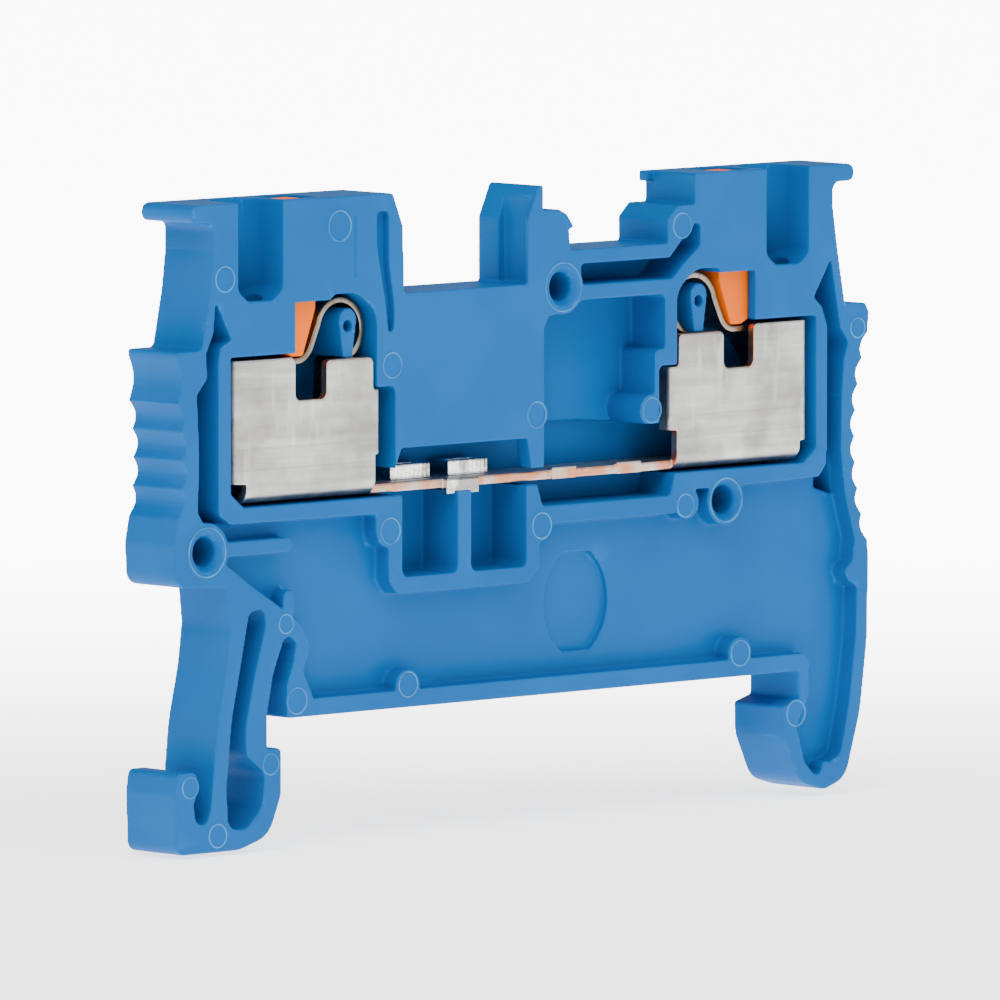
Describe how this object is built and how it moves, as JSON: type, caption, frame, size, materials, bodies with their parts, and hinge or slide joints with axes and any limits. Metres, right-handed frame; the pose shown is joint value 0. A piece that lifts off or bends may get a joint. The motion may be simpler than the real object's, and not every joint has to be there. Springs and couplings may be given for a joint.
{
  "type": "din rail terminal block",
  "caption": "Feed-through push-in terminal block: thin open-sided moulding on a DIN rail foot, with a caged current bar, loop springs and release buttons.",
  "frame": {"origin": "on the rail seat, over the rail's centre line, at half the thickness", "axes": "+X across the rail from the latch foot to the fixed foot, +Y along the rail towards the closed side, +Z away from the rail"},
  "size_m": [0.0458, 0.0044, 0.0306],
  "materials": {
    "blue_moulding": "satin polyamide",
    "tinned_copper": "matt tin over copper, bare copper at the cut edges",
    "spring_steel": "satin",
    "orange_plastic": "satin"
  },
  "bodies": {
    "block": {"housing": "blue_moulding", "current_bar": "tinned_copper", "left_spring_loop": "spring_steel", "right_spring_loop": "spring_steel"},
    "foot": {"latch_foot": "blue_moulding"},
    "left_button": {"left_push_button": "orange_plastic"},
    "right_button": {"right_push_button": "orange_plastic"},
    "left_tongue": {"left_spring_tongue": "spring_steel"},
    "right_tongue": {"right_spring_tongue": "spring_steel"}
  },
  "joints": [
    {"name": "foot_flex", "type": "hinge", "parent": "block", "child": "foot", "pos_m": [-0.0182, 0, 0.0066], "axis": [0, 1, 0], "range_deg": [0, 8], "stiffness_Nm_per_rad": 0.2},
    {"name": "left_button_push", "type": "slide", "parent": "block", "child": "left_button", "axis": [0, 0, -1], "range_m": [0, 0.0012], "stiffness_N_per_m": 200},
    {"name": "right_button_push", "type": "slide", "parent": "block", "child": "right_button", "axis": [0, 0, -1], "range_m": [0, 0.0012], "stiffness_N_per_m": 200},
    {"name": "left_tongue_bend", "type": "hinge", "parent": "block", "child": "left_tongue", "pos_m": [-0.01226, -0.00005, 0.0182], "axis": [0, -1, 0], "range_deg": [0, 24.8]},
    {"name": "right_tongue_bend", "type": "hinge", "parent": "block", "child": "right_tongue", "pos_m": [0.01106, -0.00005, 0.0182], "axis": [0, 1, 0], "range_deg": [0, 24.8]}
  ],
  "couplings": [
    {"joint": "left_tongue_bend", "follows": "left_button_push", "rad_per_m": 360},
    {"joint": "right_tongue_bend", "follows": "right_button_push", "rad_per_m": 360}
  ]
}
